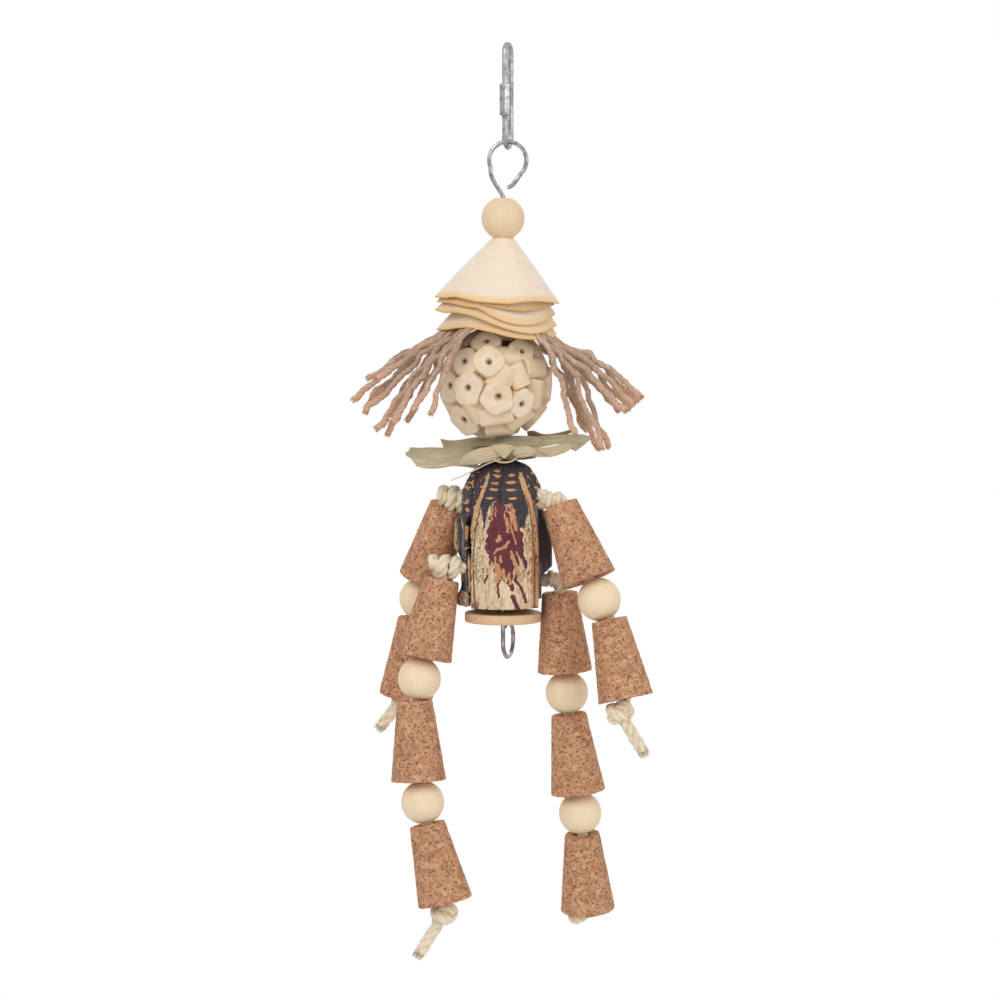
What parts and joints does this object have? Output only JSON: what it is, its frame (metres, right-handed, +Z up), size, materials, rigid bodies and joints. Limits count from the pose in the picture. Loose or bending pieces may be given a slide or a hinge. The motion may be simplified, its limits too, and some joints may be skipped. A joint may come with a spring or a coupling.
{
  "type": "hanging cork and bead figure toy",
  "caption": "Hanging figure threaded on a wire and ropes: quick link, cone hat, jute hair, slice ball, leaf collar, pod body and cork-and-bead limbs.",
  "frame": {"origin": "inner crest of the quick link's upper bow, where a hook bears", "axes": "+Z up along the hanging axis, -Y to the front, +X to the right as seen from the front"},
  "size_m": [0.1385, 0.0729, 0.4252],
  "materials": {
    "steel": "nickel-plated, polished",
    "bead_wood": "turned and sanded, unvarnished",
    "wood_shaving": "thin planed shaving with a darker outer edge",
    "jute_twine": "twisted brown jute, frayed",
    "cane_slices": "cut cane ends with a brown pith hole",
    "palm_leaf": "dried ribbed palm leaf",
    "pod_bark": "dried woody pod, dark with pale streaks",
    "disc_wood": "sawn and sanded",
    "rope_fibre": "three-strand undyed rope",
    "cork": "agglomerated cork"
  },
  "bodies": {
    "link": {"quick_link": "steel"},
    "sleeve": {"link_sleeve": "steel"},
    "hanger": {"hanger_wire": "steel"},
    "top_bead": {"top_bead": "bead_wood"},
    "hat": {"hat_cone_1": "wood_shaving", "hat_cone_2": "wood_shaving", "hat_cone_3": "wood_shaving", "hat_cone_4": "wood_shaving", "hat_cone_5": "wood_shaving"},
    "hair": {"hair_tie": "jute_twine", "hair_left": "jute_twine", "hair_right": "jute_twine"},
    "ball": {"slice_ball": "cane_slices"},
    "collar": {"collar_folds": "palm_leaf", "collar_leaf_left": "palm_leaf", "collar_leaf_right": "palm_leaf"},
    "torso": {"pod_valve_front": "pod_bark", "pod_valve_back": "pod_bark", "pod_valve_left": "pod_bark", "pod_valve_right": "pod_bark", "arm_rope_cross": "rope_fibre", "leg_rope_cross": "rope_fibre"},
    "disc": {"base_disc": "disc_wood"},
    "arm_left_knot": {"arm_left_knot": "rope_fibre"},
    "arm_left_upper": {"arm_left_rope_upper": "rope_fibre"},
    "arm_left_cork_upper": {"arm_left_cork_upper": "cork"},
    "arm_left_middle": {"arm_left_rope_middle": "rope_fibre"},
    "arm_left_bead_middle": {"arm_left_bead_middle": "bead_wood"},
    "arm_left_lower": {"arm_left_rope_lower": "rope_fibre"},
    "arm_left_cork_lower": {"arm_left_cork_lower": "cork"},
    "arm_left_tail": {"arm_left_tail": "rope_fibre"},
    "arm_right_knot": {"arm_right_knot": "rope_fibre"},
    "arm_right_upper": {"arm_right_rope_upper": "rope_fibre"},
    "arm_right_cork_upper": {"arm_right_cork_upper": "cork"},
    "arm_right_middle": {"arm_right_rope_middle": "rope_fibre"},
    "arm_right_bead_middle": {"arm_right_bead_middle": "bead_wood"},
    "arm_right_lower": {"arm_right_rope_lower": "rope_fibre"},
    "arm_right_cork_lower": {"arm_right_cork_lower": "cork"},
    "arm_right_tail": {"arm_right_tail": "rope_fibre"},
    "leg_left_1": {"leg_left_rope_1": "rope_fibre"},
    "leg_left_cork_1": {"leg_left_cork_1": "cork"},
    "leg_left_2": {"leg_left_rope_2": "rope_fibre"},
    "leg_left_bead_2": {"leg_left_bead_2": "bead_wood"},
    "leg_left_3": {"leg_left_rope_3": "rope_fibre"},
    "leg_left_cork_3": {"leg_left_cork_3": "cork"},
    "leg_left_4": {"leg_left_rope_4": "rope_fibre"},
    "leg_left_bead_4": {"leg_left_bead_4": "bead_wood"},
    "leg_left_5": {"leg_left_rope_5": "rope_fibre"},
    "leg_left_cork_5": {"leg_left_cork_5": "cork"},
    "leg_left_tail": {"leg_left_tail": "rope_fibre"},
    "leg_right_1": {"leg_right_rope_1": "rope_fibre"},
    "leg_right_cork_1": {"leg_right_cork_1": "cork"},
    "leg_right_2": {"leg_right_rope_2": "rope_fibre"},
    "leg_right_bead_2": {"leg_right_bead_2": "bead_wood"},
    "leg_right_3": {"leg_right_rope_3": "rope_fibre"},
    "leg_right_cork_3": {"leg_right_cork_3": "cork"},
    "leg_right_4": {"leg_right_rope_4": "rope_fibre"},
    "leg_right_bead_4": {"leg_right_bead_4": "bead_wood"},
    "leg_right_5": {"leg_right_rope_5": "rope_fibre"},
    "leg_right_cork_5": {"leg_right_cork_5": "cork"}
  },
  "joints": [
    {"name": "sleeve_screw", "type": "slide", "parent": "link", "child": "sleeve", "axis": [0, 0, -1], "range_m": [0, 0.0082]},
    {"name": "toy_swing", "type": "hinge", "parent": "link", "child": "hanger", "pos_m": [0, 0, -0.0461], "axis": [0, 1, 0], "range_deg": [-75, 75]},
    {"name": "top_bead_spin", "type": "hinge", "parent": "hanger", "child": "top_bead", "pos_m": [-0.0022, 0, -0.07869], "axis": [0, 0, 1], "continuous": true},
    {"name": "hat_spin", "type": "hinge", "parent": "hanger", "child": "hat", "pos_m": [-0.0022, 0, -0.08828], "axis": [0, 0, 1], "continuous": true},
    {"name": "hair_spin", "type": "hinge", "parent": "hanger", "child": "hair", "pos_m": [-0.0022, 0, -0.10438], "axis": [0, 0, 1], "continuous": true},
    {"name": "ball_spin", "type": "hinge", "parent": "hanger", "child": "ball", "pos_m": [-0.0022, 0, -0.15446], "axis": [0, 0, 1], "continuous": true},
    {"name": "collar_spin", "type": "hinge", "parent": "hanger", "child": "collar", "pos_m": [-0.0022, 0, -0.18384], "axis": [0, 0, 1], "continuous": true},
    {"name": "torso_spin", "type": "hinge", "parent": "hanger", "child": "torso", "pos_m": [-0.0022, 0, -0.19074], "axis": [0, 0, 1], "continuous": true},
    {"name": "disc_spin", "type": "hinge", "parent": "hanger", "child": "disc", "pos_m": [-0.0022, 0, -0.26594], "axis": [0, 0, 1], "continuous": true},
    {"name": "arm_left_swing", "type": "hinge", "parent": "torso", "child": "arm_left_knot", "pos_m": [-0.0267, 0.0063, -0.20754], "axis": [1, 0, 0], "range_deg": [-2, 75]},
    {"name": "arm_left_upper_bend", "type": "hinge", "parent": "arm_left_knot", "child": "arm_left_upper", "pos_m": [-0.0267, 0.0063, -0.20754], "axis": [0, 1, 0], "range_deg": [0, 75]},
    {"name": "arm_left_cork_upper_spin", "type": "hinge", "parent": "arm_left_upper", "child": "arm_left_cork_upper", "pos_m": [-0.02821, 0.00748, -0.21264], "axis": [0.2773, -0.2161, 0.9362], "continuous": true},
    {"name": "arm_left_middle_bend", "type": "hinge", "parent": "arm_left_upper", "child": "arm_left_middle", "pos_m": [-0.03862, 0.01559, -0.24779], "axis": [-1, 0, 0], "range_deg": [-18, 14]},
    {"name": "arm_left_bead_middle_spin", "type": "hinge", "parent": "arm_left_middle", "child": "arm_left_bead_middle", "pos_m": [-0.03876, 0.01569, -0.24832], "axis": [0.2461, -0.1849, 0.9514], "continuous": true},
    {"name": "arm_left_lower_bend", "type": "hinge", "parent": "arm_left_middle", "child": "arm_left_lower", "pos_m": [-0.04346, 0.01923, -0.26652], "axis": [0, 1, 0], "range_deg": [-8, 23]},
    {"name": "arm_left_cork_lower_spin", "type": "hinge", "parent": "arm_left_lower", "child": "arm_left_cork_lower", "pos_m": [-0.04353, 0.01929, -0.26706], "axis": [0.1212, -0.1038, 0.9872], "continuous": true},
    {"name": "arm_left_tail_bend", "type": "hinge", "parent": "arm_left_lower", "child": "arm_left_tail", "pos_m": [-0.05456, 0.02381, -0.31176], "axis": [0, 1, 0], "range_deg": [-30, 30]},
    {"name": "arm_right_swing", "type": "hinge", "parent": "torso", "child": "arm_right_knot", "pos_m": [0.0223, -0.0063, -0.20614], "axis": [-1, 0, 0], "range_deg": [-4, 75]},
    {"name": "arm_right_upper_bend", "type": "hinge", "parent": "arm_right_knot", "child": "arm_right_upper", "pos_m": [0.0223, -0.0063, -0.20614], "axis": [0, -1, 0], "range_deg": [-2, 75]},
    {"name": "arm_right_cork_upper_spin", "type": "hinge", "parent": "arm_right_upper", "child": "arm_right_cork_upper", "pos_m": [0.02425, -0.00744, -0.2111], "axis": [-0.3583, 0.21, 0.9097], "continuous": true},
    {"name": "arm_right_middle_bend", "type": "hinge", "parent": "arm_right_upper", "child": "arm_right_middle", "pos_m": [0.03771, -0.01533, -0.24526], "axis": [1, 0, 0], "range_deg": [-16, 14]},
    {"name": "arm_right_bead_middle_spin", "type": "hinge", "parent": "arm_right_middle", "child": "arm_right_bead_middle", "pos_m": [0.03795, -0.01543, -0.24574], "axis": [-0.4461, 0.1861, 0.8754], "continuous": true},
    {"name": "arm_right_lower_bend", "type": "hinge", "parent": "arm_right_middle", "child": "arm_right_lower", "pos_m": [0.04648, -0.01899, -0.26248], "axis": [0, -1, 0], "range_deg": [-1, 31]},
    {"name": "arm_right_cork_lower_spin", "type": "hinge", "parent": "arm_right_lower", "child": "arm_right_cork_lower", "pos_m": [0.0466, -0.01908, -0.26302], "axis": [-0.2055, 0.1531, 0.9666], "continuous": true},
    {"name": "arm_right_tail_bend", "type": "hinge", "parent": "arm_right_lower", "child": "arm_right_tail", "pos_m": [0.05563, -0.02642, -0.3123], "axis": [0, -1, 0], "range_deg": [-30, 30]},
    {"name": "leg_left_1_bend", "type": "hinge", "parent": "torso", "child": "leg_left_1", "pos_m": [-0.0295, -0.0063, -0.24024], "axis": [-1, 0, 0], "range_deg": [-3, 70]},
    {"name": "leg_left_cork_1_spin", "type": "hinge", "parent": "leg_left_1", "child": "leg_left_cork_1", "pos_m": [-0.03068, -0.00667, -0.24555], "axis": [0.2159, 0.0681, 0.974], "continuous": true},
    {"name": "leg_left_2_bend", "type": "hinge", "parent": "leg_left_1", "child": "leg_left_2", "pos_m": [-0.03878, -0.00923, -0.28212], "axis": [-1, 0, 0], "range_deg": [-16, 16]},
    {"name": "leg_left_bead_2_spin", "type": "hinge", "parent": "leg_left_2", "child": "leg_left_bead_2", "pos_m": [-0.03891, -0.00927, -0.28266], "axis": [0.2244, 0.068, 0.9721], "continuous": true},
    {"name": "leg_left_3_bend", "type": "hinge", "parent": "leg_left_2", "child": "leg_left_3", "pos_m": [-0.0432, -0.01057, -0.30125], "axis": [0, 1, 0], "range_deg": [0, 32]},
    {"name": "leg_left_cork_3_spin", "type": "hinge", "parent": "leg_left_3", "child": "leg_left_cork_3", "pos_m": [-0.04317, -0.0106, -0.3018], "axis": [-0.0487, 0.0697, 0.9964], "continuous": true},
    {"name": "leg_left_4_bend", "type": "hinge", "parent": "leg_left_3", "child": "leg_left_4", "pos_m": [-0.04134, -0.01322, -0.33922], "axis": [1, 0, 0], "range_deg": [-15, 13]},
    {"name": "leg_left_bead_4_spin", "type": "hinge", "parent": "leg_left_4", "child": "leg_left_bead_4", "pos_m": [-0.04124, -0.01325, -0.33975], "axis": [-0.1906, 0.0514, 0.9803], "continuous": true},
    {"name": "leg_left_5_bend", "type": "hinge", "parent": "leg_left_4", "child": "leg_left_5", "pos_m": [-0.03759, -0.01423, -0.35851], "axis": [0, -1, 0], "range_deg": [-18, 14]},
    {"name": "leg_left_cork_5_spin", "type": "hinge", "parent": "leg_left_5", "child": "leg_left_cork_5", "pos_m": [-0.03747, -0.01427, -0.35904], "axis": [-0.2295, 0.0679, 0.9709], "continuous": true},
    {"name": "leg_left_tail_bend", "type": "hinge", "parent": "leg_left_5", "child": "leg_left_tail", "pos_m": [-0.03488, -0.01805, -0.40913], "axis": [0, 1, 0], "range_deg": [-30, 30]},
    {"name": "leg_right_1_bend", "type": "hinge", "parent": "torso", "child": "leg_right_1", "pos_m": [0.0239, 0.0063, -0.24774], "axis": [1, 0, 0], "range_deg": [-4, 70]},
    {"name": "leg_right_cork_1_spin", "type": "hinge", "parent": "leg_right_1", "child": "leg_right_cork_1", "pos_m": [0.02428, 0.00639, -0.25317], "axis": [-0.0697, -0.0174, 0.9974], "continuous": true},
    {"name": "leg_right_2_bend", "type": "hinge", "parent": "leg_right_1", "child": "leg_right_2", "pos_m": [0.0269, 0.00705, -0.29063], "axis": [0, -1, 0], "range_deg": [-17, 15]},
    {"name": "leg_right_bead_2_spin", "type": "hinge", "parent": "leg_right_2", "child": "leg_right_bead_2", "pos_m": [0.02695, 0.00706, -0.29118], "axis": [-0.0871, -0.0174, 0.996], "continuous": true},
    {"name": "leg_right_3_bend", "type": "hinge", "parent": "leg_right_2", "child": "leg_right_3", "pos_m": [0.02861, 0.00739, -0.31023], "axis": [-1, 0, 0], "range_deg": [-16, 16]},
    {"name": "leg_right_cork_3_spin", "type": "hinge", "parent": "leg_right_3", "child": "leg_right_cork_3", "pos_m": [0.02868, 0.0074, -0.31078], "axis": [-0.1219, -0.0173, 0.9924], "continuous": true},
    {"name": "leg_right_4_bend", "type": "hinge", "parent": "leg_right_3", "child": "leg_right_4", "pos_m": [0.03326, 0.00805, -0.34804], "axis": [0, -1, 0], "range_deg": [-14, 17]},
    {"name": "leg_right_bead_4_spin", "type": "hinge", "parent": "leg_right_4", "child": "leg_right_bead_4", "pos_m": [0.03331, 0.00809, -0.34859], "axis": [-0.0956, -0.0694, 0.993], "continuous": true},
    {"name": "leg_right_5_bend", "type": "hinge", "parent": "leg_right_4", "child": "leg_right_5", "pos_m": [0.03514, 0.00942, -0.36758], "axis": [1, 0, 0], "range_deg": [-21, 11]},
    {"name": "leg_right_cork_5_spin", "type": "hinge", "parent": "leg_right_5", "child": "leg_right_cork_5", "pos_m": [0.03518, 0.0095, -0.36812], "axis": [-0.0775, -0.156, 0.9847], "continuous": true}
  ]
}
